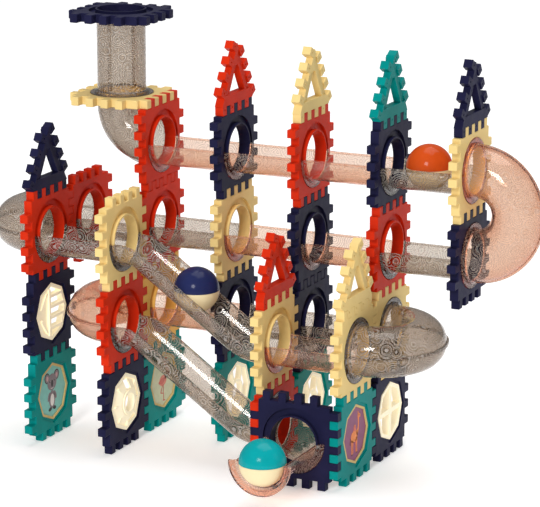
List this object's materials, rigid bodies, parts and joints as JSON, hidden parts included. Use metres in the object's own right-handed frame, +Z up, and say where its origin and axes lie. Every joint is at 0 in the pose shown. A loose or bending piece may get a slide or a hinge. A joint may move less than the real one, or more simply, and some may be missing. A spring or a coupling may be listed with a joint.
{
  "type": "marble run",
  "caption": "Toy marble run of interlocking toothed square tiles joined by half-pipe tracks, closed bends and slides, with two-tone balls on the tracks.",
  "frame": {"origin": "bottom centre of the whole toy's bounding box, at the tips of the lowest teeth", "axes": "+X along the five columns towards the pictures' side, +Y from the outlet to the back row, +Z up"},
  "size_m": [0.5188, 0.2432, 0.3894],
  "materials": {
    "tile_red": "satin moulded",
    "tile_navy": "satin moulded",
    "tile_cream": "satin moulded",
    "tile_yellow": "satin moulded",
    "tile_teal": "satin moulded",
    "window_cream": "satin moulded",
    "border_gold": "satin",
    "panel_mint": "printed card",
    "panel_sand": "printed card",
    "panel_violet": "printed card",
    "tube_smoke": "clear, moulded relief",
    "tube_orange": "clear, moulded relief",
    "ball_orange": "polished",
    "ball_navy": "polished",
    "ball_teal": "polished",
    "ball_base": "polished"
  },
  "bodies": {
    "structure": {"tile_b1_l4": "tile_red", "tile_b2_l4": "tile_navy", "tile_b3_l4": "tile_red", "tile_b4_l4": "tile_navy", "tile_b5_l4": "tile_cream", "tile_b0_l3": "tile_red", "tile_b1_l3": "tile_red", "tile_b2_l3": "tile_cream", "tile_b3_l3": "tile_navy", "tile_b4_l3": "tile_red", "tile_b5_l3": "tile_navy", "tile_b1_l2": "tile_yellow", "tile_b2_l2": "tile_navy", "tile_b3_l2": "tile_navy", "tile_b4_l2": "tile_cream", "tile_f0_l3": "tile_red", "tile_f1_l3": "tile_cream", "tile_f1_l2": "tile_red", "tile_f3_l2": "tile_cream", "tile_f3_l1": "tile_red", "tile_f4_l2": "tile_cream", "tile_box_front": "tile_navy", "tile_tower_floor": "tile_cream", "tile_inlet": "tile_navy", "window_frames_navy": "tile_navy", "window_frames_teal": "tile_teal", "picture_tile_f0": "tile_teal", "picture_tile_b1": "tile_teal", "picture_tile_f4": "tile_teal", "window_barred": "window_cream", "window_rose": "window_cream", "window_cross": "window_cream", "windows_gothic": "window_cream", "picture_borders": "border_gold", "picture_panel_koala": "panel_mint", "picture_panel_flamingo": "panel_sand", "picture_panel_camel": "panel_violet", "spires_red": "tile_red", "spires_navy": "tile_navy", "spires_cream": "tile_cream", "spire_teal": "tile_teal", "straight_tracks_orange": "tube_orange", "straight_tracks_smoke": "tube_smoke", "outlet_track": "tube_orange", "tower_tube": "tube_smoke", "top_elbow": "tube_smoke", "box_elbow": "tube_smoke", "turn_top_right": "tube_orange", "turn_top_left": "tube_smoke", "turn_low_left": "tube_orange", "turn_low_right": "tube_smoke", "slide_upper": "tube_smoke", "slide_lower": "tube_smoke"},
    "ball_orange": {"ball_orange_cap": "ball_orange", "ball_orange_base": "ball_base"},
    "ball_navy": {"ball_navy_cap": "ball_navy", "ball_navy_base": "ball_base"},
    "ball_teal": {"ball_teal_cap": "ball_teal", "ball_teal_base": "ball_base"}
  },
  "joints": [
    {"name": "orange_roll", "type": "slide", "parent": "structure", "child": "ball_orange", "axis": [-1, 0, 0], "range_m": [-0.04, 0.264]},
    {"name": "navy_roll", "type": "slide", "parent": "structure", "child": "ball_navy", "axis": [0.8214, 0, -0.5703], "range_m": [-0.05, 0.05]},
    {"name": "teal_roll", "type": "slide", "parent": "structure", "child": "ball_teal", "axis": [0, 1, 0], "range_m": [0, 0.066]}
  ]
}
